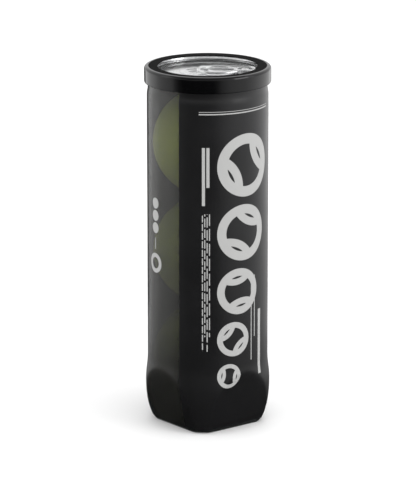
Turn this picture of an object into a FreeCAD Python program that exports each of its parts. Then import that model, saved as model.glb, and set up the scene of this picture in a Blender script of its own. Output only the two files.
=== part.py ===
import FreeCAD, Part
import math
import os

# A pressurised can of three padel balls: a blow-moulded bottle in a printed
# shrink sleeve, a seamed aluminium ring-pull end, and a push-on overcap.
# Millimetres, +Z up. The origin is the centre of the foot, on the floor. The
# four narrow corners of the foot point along X and Y, and its flats lie between.

Vector = FreeCAD.Vector
axis_foot = Vector(0, 0, 0)
up = Vector(0, 0, 1)

# Gaps that any two pieces keep
loose_gap = 0.3               # between pieces that move apart
close_gap = 0.05              # between pieces that are glued, seamed or shrunk on

# Balls
ball_count = 3
ball_diameter = 66.0
felt_thickness = 3.2
core_wall = 3.4
seam_width = 2.2              # rubber line between the two felt panels
seam_recess = 0.7             # how far that line sits below the felt
seam_swing = 0.24             # share of the third harmonic in the seam's curve
seam_spans = 4                # the seam's curve is cut in this many spans
seam_points = 12              # points in each
seam_start = 0.3              # radians round the seam to the first span
seam_clear_turn = 37.0        # keeps the felt sphere's own poles off the seam
ball_turn_step = 177.0        # each ball lies turned from the one under it

# Bottle
bottle_wall = 0.6
ball_side_clearance = 2.2
heel_swell = 1.2              # the crest of the heel stands out this far
heel_crest_height = 26.0
heel_undercut = 7.0           # foot radius is this much less than the crest's
heel_blend_height = 41.5      # the crest has run out into the wall here
flat_cut_in = 5.0              # of the flats, in from the foot's corners
flat_lean = 16.7              # degrees that the heel's flats lean outwards
dome_radius = 19.0            # pushed-up centre of the base
dome_rise = 5.6
neck_height = 8.0             # straight neck below the end's lower edge
neck_blend = 4.3              # height over which the wall draws in to the neck
flange_overhang = 0.65
flange_thickness = 0.9

# Shrink sleeve
sleeve_thickness = 0.25
sleeve_foot_gap = 2.2         # bare bottle below the sleeve
sleeve_top_gap = 1.4          # bare neck between the sleeve and the seam

# Aluminium end
metal = 0.25
mouth_clearance = 0.5         # round a ball that passes the opened end
groove_width = 0.6
groove_depth = 5.2
panel_depth = 2.4             # panel's face below the top of the seam
seam_height = 2.9
gasket_thickness = 0.25
headspace = 8.8               # from the top ball to the panel's underside
bead_half_width = 0.8
rim_bead_inset = 1.5          # raised bead, in from the torn edge
rim_bead_height = 0.5
panel_bead_inset = 4.8        # sunk bead
panel_bead_depth = 0.4
well_radius = 10.0            # finger well under the tab's ring
well_step = 2.6
well_depth = 0.7              # of each of its two steps

# Ring-pull tab, measured along its own length from the can's axis
tab_angle = 12.5              # degrees from X towards Y
tab_thickness = 1.4
tab_nose_inset = 4.0          # nose tip, in from the torn edge
nose_radius = 7.0
tab_length = 36.0
ring_half_length = 12.4
ring_half_width = 11.0
ring_band = 2.4
tongue_length = 7.8
tongue_half_width = 3.6
tongue_thickness = 0.45
tongue_nose_gap = 2.9         # from the nose tip to the tongue's root
rivet_radius = 1.6
rivet_head_radius = 2.5
rivet_head_height = 0.5
pocket_depth = 0.5

# Overcap
cap_wall = 0.7
cap_plate = 1.0
cap_height = 9.6
cap_shoulder = 1.95           # round from the skirt in to the lip
cap_shoulder_drop = 1.8
lip_width = 0.6
lip_groove = 0.4
lip_height = 0.15             # lip above the flat ring inside it
grip_bead = 0.2
grip_bead_height = 0.8
skirt_edge = 0.4
window_radius = 29.7          # clear opening in the black ring
window_lap = 1.5              # edge of the clear disc under the ring
window_ledge = 0.4

# What follows from them
ball_radius = ball_diameter / 2
felt_inner = ball_radius - felt_thickness
core_radius = felt_inner - close_gap
bore_radius = ball_radius + ball_side_clearance
body_radius = bore_radius + bottle_wall
crest_radius = body_radius + heel_swell
foot_radius = crest_radius - heel_undercut
flat_foot_apothem = foot_radius - flat_cut_in

mouth_radius = ball_radius + mouth_clearance
chuck_inner = mouth_radius + metal + groove_width
chuck_outer = chuck_inner + metal
neck_bore = chuck_outer + close_gap
neck_radius = neck_bore + bottle_wall
flange_radius = neck_radius + flange_overhang
gasket_radius = flange_radius + gasket_thickness
curl_inner = gasket_radius + close_gap
seam_radius = curl_inner + metal
panel_radius = mouth_radius - loose_gap

ball_and_wall = ball_radius + bottle_wall + loose_gap
lean = math.radians(flat_lean)
ball_on_dome = dome_rise + bottle_wall + loose_gap
ball_on_flats = (ball_and_wall - flat_foot_apothem * math.cos(lean)) / math.sin(lean) - ball_radius
first_ball_foot = max(ball_on_dome, ball_on_flats)
ball_pitch = ball_diameter + loose_gap
balls_top = first_ball_foot + (ball_count - 1) * ball_pitch + ball_diameter
panel_top = balls_top + headspace + metal
seam_top = panel_top + panel_depth
seam_bottom = seam_top - seam_height
flange_top = seam_top - metal - gasket_thickness - 2 * close_gap
groove_floor = seam_top - groove_depth
neck_start = seam_bottom - neck_height
sleeve_top = seam_bottom - sleeve_top_gap

skirt_inner = seam_radius + loose_gap + grip_bead
cap_radius = skirt_inner + cap_wall
plate_under = seam_top + loose_gap
flat_top = plate_under + cap_plate
lip_top = flat_top + lip_height
cap_foot = lip_top - cap_height

nose_reach = panel_radius - tab_nose_inset
ring_centre = nose_reach - tab_length + ring_half_length
tongue_root = nose_reach - tongue_nose_gap
tongue_end = tongue_root - tongue_length
rivet_reach = tongue_root - tongue_length / 2
tab_under = panel_top + loose_gap
well_reach = ring_centre - ring_half_length


def section_point(radius, height):
    return Vector(radius, 0, height)


def straight(start, end):
    return Part.LineSegment(section_point(*start), section_point(*end)).toShape()


def polyline(points):
    return [straight(a, b) for a, b in zip(points, points[1:])]


def spun(edges):
    """Solid of a closed half-section turned about the can's axis."""
    face = Part.Face(Part.Wire(edges))
    return face.revolve(axis_foot, up, 360)


def spun_outline(points):
    return spun(polyline(points + points[:1]))


def ogee(start, end):
    """Two equal arcs that leave and arrive parallel to the axis."""
    offset = start[0] - end[0]
    height = end[1] - start[1]
    radius = (height ** 2 + offset ** 2) / (4 * offset)
    half_turn = math.asin(height / 2 / radius) / 2
    dip = radius * (1 - math.cos(half_turn))
    climb = radius * math.sin(half_turn)
    middle = ((start[0] + end[0]) / 2, (start[1] + end[1]) / 2)
    first = (start[0] - dip, start[1] + climb)
    last = (end[0] + dip, end[1] - climb)
    arcs = [(start, first, middle), (middle, last, end)]
    return [Part.Arc(*[section_point(*p) for p in arc]).toShape() for arc in arcs]


def heel_curve(inset):
    """Quarter ellipse from the foot out to the crest of the heel."""
    middle = section_point(foot_radius, heel_crest_height)
    low = section_point(foot_radius, inset)
    out = section_point(crest_radius - inset, heel_crest_height)
    ellipse = Part.Ellipse(low, out, middle)
    return Part.ArcOfEllipse(ellipse, 0, math.pi / 2).toShape()


def bottle_form(inset, top):
    """The bottle's outer form, drawn in by inset, as one solid up to top."""
    crest = (crest_radius - inset, heel_crest_height)
    wall_low = (body_radius - inset, heel_blend_height)
    wall_high = (body_radius - inset, neck_start - neck_blend)
    neck_low = (neck_radius - inset, neck_start)
    edges = [straight((0, inset), (foot_radius, inset)), heel_curve(inset)]
    edges += ogee(crest, wall_low)
    edges += [straight(wall_low, wall_high)]
    edges += ogee(wall_high, neck_low)
    edges += polyline([neck_low, (neck_radius - inset, top), (0, top), (0, inset)])
    form = spun(edges)
    reach = 2 * crest_radius
    shift = flat_foot_apothem - inset / math.cos(math.radians(flat_lean))
    for quarter in range(4):
        slab = Part.makeBox(reach, 2 * reach, 2 * reach, Vector(0, -reach, -reach))
        slab.rotate(axis_foot, Vector(0, 1, 0), flat_lean)
        slab.translate(Vector(shift, 0, 0))
        slab.rotate(axis_foot, up, 45 + 90 * quarter)
        form = form.cut(slab)
    return form


def base_dome(grow):
    """Ball whose cap is the pushed-up centre of the base."""
    radius = (dome_radius ** 2 + dome_rise ** 2) / (2 * dome_rise)
    return Part.makeSphere(radius + grow, Vector(0, 0, dome_rise - radius))


def can_body():
    flange = spun_outline([
        (neck_bore, flange_top - flange_thickness),
        (flange_radius, flange_top - flange_thickness),
        (flange_radius, flange_top),
        (neck_bore, flange_top),
    ])
    cavity = bottle_form(bottle_wall, flange_top + 1).cut(base_dome(bottle_wall))
    body = bottle_form(0, flange_top).fuse(flange)
    return body.cut(cavity).cut(base_dome(0)).removeSplitter()


def label_sleeve():
    outer = bottle_form(-close_gap - sleeve_thickness, sleeve_top)
    inner = bottle_form(-close_gap, sleeve_top + 1)
    below = Part.makeBox(4 * crest_radius, 4 * crest_radius, 2 * sleeve_foot_gap)
    below.translate(Vector(-2 * crest_radius, -2 * crest_radius, -sleeve_foot_gap))
    return outer.cut(inner).cut(below)


def end_ring():
    hook_radius = neck_radius + close_gap
    return spun_outline([
        (hook_radius, seam_bottom),
        (seam_radius, seam_bottom),
        (seam_radius, seam_top),
        (chuck_inner, seam_top),
        (chuck_inner, groove_floor + metal),
        (mouth_radius + metal, groove_floor + metal),
        (mouth_radius + metal, panel_top),
        (mouth_radius, panel_top),
        (mouth_radius, groove_floor),
        (chuck_outer, groove_floor),
        (chuck_outer, seam_top - metal),
        (curl_inner, seam_top - metal),
        (curl_inner, seam_bottom + metal),
        (hook_radius, seam_bottom + metal),
    ])


def seam_gasket():
    top = seam_top - metal - close_gap
    inside = flange_radius + close_gap
    return spun_outline([
        (neck_bore, flange_top + close_gap),
        (inside, flange_top + close_gap),
        (inside, flange_top - flange_thickness),
        (gasket_radius, flange_top - flange_thickness),
        (gasket_radius, top),
        (neck_bore, top),
    ])


def along_tab(shape):
    """Turns a shape drawn along X to lie along the tab."""
    shape.rotate(axis_foot, up, tab_angle)
    return shape


def bead_path(radius, rise):
    """One pressed bead in the panel, from its outer side inwards."""
    return [
        (radius + bead_half_width, 0),
        (radius + bead_half_width / 2, rise),
        (radius - bead_half_width / 2, rise),
        (radius - bead_half_width, 0),
    ]


def finger_well(grow):
    """Two-step dish below the tab's ring, grown by the metal for its underside."""
    upper = Part.makeCone(
        well_radius - well_depth + grow, well_radius + grow, well_depth + grow,
        Vector(well_reach, 0, panel_top - well_depth - grow))
    inner_radius = well_radius - well_step
    lower = Part.makeCone(
        inner_radius - well_depth + grow, inner_radius + grow, well_depth + grow,
        Vector(well_reach, 0, panel_top - 2 * well_depth - grow))
    return upper.fuse(lower)


def tear_panel():
    path = [(panel_radius, 0)]
    path += bead_path(panel_radius - rim_bead_inset, rim_bead_height)
    path += bead_path(panel_radius - panel_bead_inset, -panel_bead_depth)
    path += [(0, 0)]
    face = [(radius, panel_top + level) for radius, level in path]
    back = [(radius, height - metal) for radius, height in reversed(face)]
    sheet = spun_outline(face + back)
    sheet = sheet.fuse(along_tab(finger_well(metal))).cut(along_tab(finger_well(0)))
    head_under = panel_top + tongue_thickness + 2 * close_gap
    sunk = metal / 2
    post = Part.makeCylinder(rivet_radius, head_under - panel_top + 2 * sunk,
                             Vector(rivet_reach, 0, panel_top - sunk))
    head = Part.makeCylinder(rivet_head_radius, rivet_head_height,
                             Vector(rivet_reach, 0, head_under))
    return sheet.fuse(along_tab(post.fuse(head))).removeSplitter()


def tab_tongue():
    tongue = Part.makeBox(
        tongue_length, 2 * tongue_half_width, tongue_thickness,
        Vector(tongue_end, -tongue_half_width, panel_top + close_gap))
    hole = Part.makeCylinder(rivet_radius + close_gap, 2 * tongue_thickness,
                             Vector(rivet_reach, 0, panel_top))
    return along_tab(tongue.cut(hole))


def oval_block(half_length, half_width, low, high):
    """Upright oval block at the middle of the tab's ring."""
    middle = Vector(ring_centre, 0, low)
    ellipse = Part.Ellipse(middle + Vector(half_length, 0, 0),
                           middle + Vector(0, half_width, 0), middle)
    face = Part.Face(Part.Wire(ellipse.toShape()))
    return face.extrude(Vector(0, 0, high - low))


def nose_block(inset, start, low, high):
    """Straight-sided block from start to the rounded nose of the tab."""
    nose_centre = nose_reach - nose_radius
    round_end = Part.makeCylinder(nose_radius - inset, high - low,
                                  Vector(nose_centre, 0, low))
    sides = Part.makeBox(nose_centre - start, 2 * (nose_radius - inset), high - low,
                         Vector(start, inset - nose_radius, low))
    return sides.fuse(round_end)


def pull_tab():
    top = tab_under + tab_thickness
    tab = oval_block(ring_half_length, ring_half_width, tab_under, top)
    tab = tab.fuse(nose_block(0, ring_centre, tab_under, top))
    finger_hole = oval_block(ring_half_length - ring_band, ring_half_width - ring_band,
                             tab_under - 1, top + 1)
    slot = Part.makeBox(
        tongue_length + 2 * loose_gap, 2 * (tongue_half_width + loose_gap), 4 * tab_thickness,
        Vector(tongue_end - loose_gap, -tongue_half_width - loose_gap, panel_top))
    pocket_start = ring_centre + ring_half_length - ring_band / 2
    pocket = nose_block(ring_band / 2, pocket_start, top - pocket_depth, top + 1)
    return along_tab(tab.cut(finger_hole).cut(slot).cut(pocket).removeSplitter())


def overcap_ring():
    lip_outer = cap_radius - cap_shoulder
    lip_inner = lip_outer - lip_width
    groove_radius = lip_inner - lip_groove
    rebate_radius = window_radius + window_lap + close_gap
    rebate_top = flat_top - window_ledge
    bead_top = seam_bottom - loose_gap
    bead_middle = bead_top - grip_bead_height / 2
    shoulder_low = (cap_radius, lip_top - cap_shoulder_drop)
    shoulder_mid = (cap_radius - 0.3 * cap_shoulder, lip_top - 0.3 * cap_shoulder_drop)
    lip_corner = (lip_outer, lip_top)
    shoulder = Part.Arc(*[section_point(*p) for p in (shoulder_low, shoulder_mid, lip_corner)])
    skirt = polyline([
        (skirt_inner, cap_foot),
        (cap_radius - skirt_edge, cap_foot),
        (cap_radius, cap_foot + skirt_edge),
        shoulder_low,
    ])
    crown = polyline([
        lip_corner,
        (lip_inner, lip_top),
        (groove_radius, flat_top - lip_groove / 2),
        (groove_radius - lip_groove, flat_top),
        (window_radius, flat_top),
        (window_radius, rebate_top),
        (rebate_radius, rebate_top),
        (rebate_radius, plate_under),
        (skirt_inner, plate_under),
        (skirt_inner, bead_top),
        (skirt_inner - grip_bead, bead_middle),
        (skirt_inner, bead_top - grip_bead_height),
        (skirt_inner, cap_foot),
    ])
    return spun(skirt + [shoulder.toShape()] + crown)


def overcap_window():
    thickness = cap_plate - window_ledge - close_gap
    return Part.makeCylinder(window_radius + window_lap, thickness, Vector(0, 0, plate_under))


def seam_direction(turn, side):
    """Point of the felt's seam on a unit ball, moved sideways by side radians."""
    low = 1 - seam_swing
    twist = 2 * math.sqrt(low * seam_swing)
    point = Vector(
        low * math.cos(turn) + seam_swing * math.cos(3 * turn),
        low * math.sin(turn) - seam_swing * math.sin(3 * turn),
        twist * math.sin(2 * turn))
    tangent = Vector(
        -low * math.sin(turn) - 3 * seam_swing * math.sin(3 * turn),
        low * math.cos(turn) - 3 * seam_swing * math.cos(3 * turn),
        2 * twist * math.cos(2 * turn))
    across = point.cross(tangent).normalize()
    return point * math.cos(side) + across * math.sin(side)


def seam_sheets(offset):
    """Sheets, end to end, that cut the felt along the seam, offset to one side of it."""
    side = offset / ball_radius
    step = 2 * math.pi / seam_spans / seam_points
    sheets = []
    for span in range(seam_spans):
        first = seam_start + span * seam_points * step
        course = [seam_direction(first + n * step, side) for n in range(seam_points + 1)]
        leave = seam_direction(first + step / 100, side) - course[0]
        arrive = course[-1] - seam_direction(first + (seam_points - 0.01) * step, side)
        rails = []
        for radius in (felt_inner - 1, ball_radius + 1):
            curve = Part.BSplineCurve()
            curve.interpolate(Points=[point * radius for point in course],
                              InitialTangent=leave, FinalTangent=arrive)
            rails.append(curve.toShape())
        sheets.append(Part.makeRuledSurface(*rails))
    return sheets


def felt_pieces():
    """The two felt panels and the rubber seam between them, for a ball at the origin."""
    cover = Part.makeSphere(ball_radius).cut(Part.makeSphere(felt_inner))
    cover.rotate(axis_foot, Vector(1, 0, 0), seam_clear_turn)
    half = seam_width / 2
    sheets = []
    for offset in (-half - close_gap, -half, half, half + close_gap):
        sheets += seam_sheets(offset)
    parts = cover.generalFuse(sheets)[0].Solids
    by_size = sorted(parts, key=lambda part: part.Volume, reverse=True)
    upper, lower = sorted(by_size[:2], key=lambda part: part.CenterOfMass.z, reverse=True)
    seam = by_size[2].common(Part.makeSphere(ball_radius - seam_recess))
    return {"felt_a": upper, "felt_b": lower, "seam": seam.Solids[0]}


def core_pieces():
    """The hollow rubber core, moulded as two cups that are bonded at a joint."""
    core = Part.makeSphere(core_radius).cut(Part.makeSphere(core_radius - core_wall))
    half_joint = close_gap / 2
    cups = {}
    for name, low in (("core_lower", -ball_diameter - half_joint), ("core_upper", half_joint)):
        half = Part.makeBox(2 * ball_diameter, 2 * ball_diameter, ball_diameter,
                            Vector(-ball_diameter, -ball_diameter, low))
        cups[name] = core.common(half).Solids[0]
    return cups


def balls():
    """Every piece of every ball, named ball_1 at the foot and up."""
    pieces = dict(felt_pieces(), **core_pieces())
    found = {}
    for index in range(ball_count):
        turn = ball_turn_step * (index + 1)
        middle = Vector(0, 0, first_ball_foot + ball_radius + index * ball_pitch)
        for name, shape in pieces.items():
            placed = shape.copy()
            placed.rotate(axis_foot, Vector(1, 0, 0), turn)
            placed.rotate(axis_foot, up, 2 * turn)
            placed.translate(middle)
            found[f"ball_{index + 1}_{name}"] = placed
    return found


def main():
    shapes = {
        "can_body": can_body(),
        "label_sleeve": label_sleeve(),
        "end_ring": end_ring(),
        "seam_gasket": seam_gasket(),
        "tear_panel": tear_panel(),
        "tab_tongue": tab_tongue(),
        "pull_tab": pull_tab(),
        "overcap_ring": overcap_ring(),
        "overcap_window": overcap_window(),
    }
    shapes.update(balls())
    os.makedirs("parts", exist_ok=True)
    for name, shape in shapes.items():
        shape.exportStep(f"parts/{name}.step")
        print(name, shape.isValid(), len(shape.Solids), round(shape.Volume, 2))
    print("height", round(lip_top, 3), "cap radius", round(cap_radius, 3))


main()
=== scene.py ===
import math

import bmesh
import bpy
import numpy as np
from mathutils import Matrix, Vector, noise


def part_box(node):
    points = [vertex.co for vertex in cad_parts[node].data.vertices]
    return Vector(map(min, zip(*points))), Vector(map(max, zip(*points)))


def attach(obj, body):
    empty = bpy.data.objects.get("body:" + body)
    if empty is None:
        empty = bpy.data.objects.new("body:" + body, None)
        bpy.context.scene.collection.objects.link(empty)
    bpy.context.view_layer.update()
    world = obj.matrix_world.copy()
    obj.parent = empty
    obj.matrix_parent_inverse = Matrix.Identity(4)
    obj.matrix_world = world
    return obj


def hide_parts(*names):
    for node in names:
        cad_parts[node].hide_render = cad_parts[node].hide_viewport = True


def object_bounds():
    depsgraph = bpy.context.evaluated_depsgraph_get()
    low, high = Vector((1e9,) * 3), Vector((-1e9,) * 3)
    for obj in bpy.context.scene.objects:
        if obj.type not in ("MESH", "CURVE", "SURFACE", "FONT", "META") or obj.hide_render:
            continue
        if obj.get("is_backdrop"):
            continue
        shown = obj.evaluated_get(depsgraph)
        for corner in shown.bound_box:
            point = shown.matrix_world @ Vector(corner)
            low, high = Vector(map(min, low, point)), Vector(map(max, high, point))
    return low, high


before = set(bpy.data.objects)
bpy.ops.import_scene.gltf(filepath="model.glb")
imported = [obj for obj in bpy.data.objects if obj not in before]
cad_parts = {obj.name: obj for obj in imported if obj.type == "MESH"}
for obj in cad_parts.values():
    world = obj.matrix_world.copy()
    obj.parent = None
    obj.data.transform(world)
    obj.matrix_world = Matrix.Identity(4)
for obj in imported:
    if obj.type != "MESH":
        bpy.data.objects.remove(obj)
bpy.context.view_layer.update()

# Padel ball can: bottle in a printed sleeve, ring-pull end, push-on overcap, three balls.
mm = 0.001
quarterTurn = math.pi / 2


# shader writing

class Signal:
    # one output of a shader node, so that patterns read as sums
    def __init__(self, finish, socket):
        self.finish = finish
        self.socket = socket

    def maths(self, operation, *others, clamp=False):
        inputs = dict(enumerate((self,) + others))
        return self.finish.node("ShaderNodeMath", {"operation": operation, "use_clamp": clamp}, inputs)

    def flipped(self, operation, other):
        return self.finish.node("ShaderNodeMath", {"operation": operation}, {0: other, 1: self})

    def __add__(self, other):
        return self.maths("ADD", other)

    def __sub__(self, other):
        return self.maths("SUBTRACT", other)

    def __rsub__(self, other):
        return self.flipped("SUBTRACT", other)

    def __mul__(self, other):
        return self.maths("MULTIPLY", other)

    def __truediv__(self, other):
        return self.maths("DIVIDE", other)

    __radd__ = __add__
    __rmul__ = __mul__

    def over(self, edge, soft):
        # 0 below the edge, 1 above it, with a soft step
        return ((self - edge) / soft + 0.5).maths("ADD", 0.0, clamp=True)

    def within(self, low, high, soft):
        return self.over(low, soft) * (1 - self.over(high, soft))


class Finish:
    # one material and the few node recipes that all of them share
    def __init__(self, name):
        self.material = bpy.data.materials.new(name)
        self.material.use_nodes = True
        self.tree = self.material.node_tree
        self.tree.nodes.clear()
        self.place = self.node("ShaderNodeTexCoord", out="Object")

    def node(self, kind, settings=None, sockets=None, out=0):
        made = self.tree.nodes.new(kind)
        for key, value in (settings or {}).items():
            if key == "stops":
                for spot, (at, grey) in enumerate(value):
                    stop = made.color_ramp.elements[spot] if spot < 2 else made.color_ramp.elements.new(at)
                    stop.position = at
                    stop.color = (grey, grey, grey, 1)
            else:
                setattr(made, key, value)
        for key, value in (sockets or {}).items():
            if isinstance(value, Signal):
                self.tree.links.new(value.socket, made.inputs[key])
            elif value is not None:
                made.inputs[key].default_value = value
        return Signal(self, made.outputs[out]) if len(made.outputs) else made

    def axes(self):
        split = self.tree.nodes.new("ShaderNodeSeparateXYZ")
        self.tree.links.new(self.place.socket, split.inputs[0])
        return [Signal(self, out) for out in split.outputs]

    def stretched(self, scale, turn=(0, 0, 0)):
        return self.node("ShaderNodeMapping", None, {"Vector": self.place, "Scale": scale, "Rotation": turn})

    def cloud(self, scale, detail=3.0, rough=0.5, vector=None):
        return self.node("ShaderNodeTexNoise", None, {
            "Vector": vector or self.place, "Scale": scale, "Detail": detail, "Roughness": rough})

    def cells(self, scale, vector=None):
        return self.node("ShaderNodeTexVoronoi", None, {"Vector": vector or self.place, "Scale": scale})

    def spread(self, signal, low, high, fromLow=0.3, fromHigh=0.7):
        return self.node("ShaderNodeMapRange", None, {
            "Value": signal, "From Min": fromLow, "From Max": fromHigh, "To Min": low, "To Max": high})

    def blend(self, factor, first, second, how="MIX"):
        mixed = self.tree.nodes.new("ShaderNodeMix")
        mixed.data_type = "RGBA"
        mixed.blend_type = how
        for socket, value in ((mixed.inputs[0], factor), (mixed.inputs[6], first), (mixed.inputs[7], second)):
            if isinstance(value, Signal):
                self.tree.links.new(value.socket, socket)
            elif isinstance(value, (int, float)):
                socket.default_value = value
            else:
                socket.default_value = (*value, 1)
        return Signal(self, mixed.outputs[2])

    def bump(self, height, depth, strength=1.0, under=None):
        return self.node("ShaderNodeBump", None, {
            "Height": height, "Distance": depth, "Strength": strength, "Normal": under})

    def principled(self, **sockets):
        # underscores in the names stand for the spaces of the shader's sockets
        named = {key.replace("_", " "): value for key, value in sockets.items()}
        for key, value in named.items():
            if isinstance(value, tuple) and len(value) == 3 and key in ("Base Color", "Sheen Tint"):
                named[key] = (*value, 1)
        return self.node("ShaderNodeBsdfPrincipled", None, named)

    def surface(self, **sockets):
        self.finishWith(self.principled(**sockets))
        return self.material

    def finishWith(self, shader):
        out = self.tree.nodes.new("ShaderNodeOutputMaterial")
        self.tree.links.new(shader.socket, out.inputs["Surface"])


# mesh writing

def pieceFrom(name, verts, faces, material, sharp=40):
    # a finished mesh at the origin, doubles merged first and then normals outwards
    mesh = bpy.data.meshes.new(name)
    mesh.from_pydata([tuple(v) for v in verts], [], faces)
    work = bmesh.new()
    work.from_mesh(mesh)
    bmesh.ops.remove_doubles(work, verts=work.verts, dist=1e-7)
    bmesh.ops.dissolve_degenerate(work, edges=work.edges, dist=1e-8)
    bmesh.ops.recalc_face_normals(work, faces=work.faces)
    work.to_mesh(mesh)
    work.free()
    return shown(name, mesh, material, sharp)


def shown(name, mesh, material, sharp=40):
    mesh.polygons.foreach_set("use_smooth", [True] * len(mesh.polygons))
    mesh.set_sharp_from_angle(angle=math.radians(sharp))
    mesh.materials.clear()
    mesh.materials.append(material)
    obj = bpy.data.objects.new(name, mesh)
    bpy.context.scene.collection.objects.link(obj)
    return obj


def joined(name, pieces, material, sharp=40):
    work = bmesh.new()
    for piece in pieces:
        work.from_mesh(piece.data)
    mesh = bpy.data.meshes.new(name)
    work.to_mesh(mesh)
    work.free()
    for piece in pieces:
        bpy.data.objects.remove(piece)
    return shown(name, mesh, material, sharp)


def rounded(corners, steps=4):
    # closed half-section (radius, height, rounding) with every corner turned in an arc
    path = []
    count = len(corners)
    for index, (radius, height, rounding) in enumerate(corners):
        here = Vector((radius, height))
        before = Vector(corners[index - 1][:2]) - here
        after = Vector(corners[(index + 1) % count][:2]) - here
        reach = min(rounding, 0.45 * before.length, 0.45 * after.length)
        if reach <= 0:
            path.append((radius, height))
            continue
        first = here + before.normalized() * reach
        last = here + after.normalized() * reach
        for step in range(steps + 1):
            t = step / steps
            spot = first * (1 - t) ** 2 + here * 2 * t * (1 - t) + last * t ** 2
            path.append((spot.x, spot.y))
    return path


def bandFaces(rows, segments, closed):
    # quads between rows of points; a closed band joins its last row to its first
    faces = []
    for row in range(rows if closed else rows - 1):
        here, ahead = row * segments, (row + 1) % rows * segments
        for step in range(segments):
            nextStep = (step + 1) % segments
            faces.append((here + step, here + nextStep, ahead + nextStep, ahead + step))
    return faces


def turned(name, path, material, segments=160, sharp=40):
    # a closed half-section swept round the can's axis
    verts = []
    for radius, height in path:
        for step in range(segments):
            angle = 2 * math.pi * step / segments
            verts.append((radius * math.sin(angle), -radius * math.cos(angle), height))
    return pieceFrom(name, verts, bandFaces(len(path), segments, True), material, sharp)


def ogee(start, end, steps=10):
    # S-shaped draw between two radii, upright at both ends
    path = []
    for step in range(steps + 1):
        t = step / steps
        ease = t * t * (3 - 2 * t)
        path.append((start[0] + (end[0] - start[0]) * ease, start[1] + (end[1] - start[1]) * t))
    return path


def softMin(a, b, blend):
    overlap = max(blend - abs(a - b), 0) / blend
    return min(a, b) - overlap * overlap * blend / 4


# finishes

sleeveArt = {
    "wrapRadius": 36.05 * mm,
    "ink": (0.355, 0.355, 0.35),
    "black": (0.0060, 0.0060, 0.0065),
    "smokeTop": (0.086, 0.085, 0.080),
    "smokeFoot": (0.015, 0.015, 0.013),
    "windowFrom": -79.4,        # degrees round from the front
    "windowTo": -21.3,
    "seenTop": 0.225,           # how solid each face of the smoke strip is, up the can
    "seenFoot": 0.58,
    "ballLeft": 15.5,           # left edge of the column of ball emblems
    "ballTop": 183.0 * mm,
    "ballSizes": [38.0, 34.0, 28.0, 21.0, 15.0],
    "ballGap": 4.6,
    "stroke": 0.165,            # of an emblem's width
    "edge": 0.12 * mm,
    # bars of ink: degrees round from and to, millimetres up from and to
    "bars": [(-1.7, 78.5, 195.6, 196.3), (-1.7, 78.5, 197.2, 197.5), (1.2, 4.1, 141.0, 176.0),
             (5.4, 8.3, 152.0, 176.0), (52.0, 53.0, 44.0, 96.0), (56.5, 57.5, 58.0, 96.0),
             (62.5, 66.7, 34.0, 74.0), (-53.0, -52.0, 110.5, 117.5),
             (150.0, 180.0, 178.0, 180.4), (-180.0, -150.0, 178.0, 180.4)],
    # dots: degrees round, then height, radius and radius of the hole in millimetres
    "dots": [(-52.5, 123.5, 3.3, 0.0), (-52.5, 131.0, 3.3, 0.0), (-52.5, 138.5, 3.3, 0.0),
             (-52.5, 102.0, 6.0, 3.4)],
    "dashRows": 4,
    "backLines": 5,
}


def ballEmblem(u, v, size, turn, art):
    # outline of a ball with its two seam arcs
    outer = size / 2
    line = size * art["stroke"]
    mid = outer - line / 2
    away = (u * u + v * v).maths("SQRT")
    ring = (away - mid).maths("ABSOLUTE")
    mark = 1 - ring.over(line / 2, art["edge"])
    inside = 1 - away.over(outer, art["edge"])
    for side in (-1, 1):
        reach = outer * 1.42
        cu = side * reach * math.cos(turn)
        cv = side * reach * math.sin(turn)
        du = u - cu
        dv = v - cv
        arc = ((du * du + dv * dv).maths("SQRT") - outer * 0.98).maths("ABSOLUTE")
        mark = mark.maths("MAXIMUM", (1 - arc.over(line * 0.42, art["edge"])) * inside)
    return mark


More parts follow.
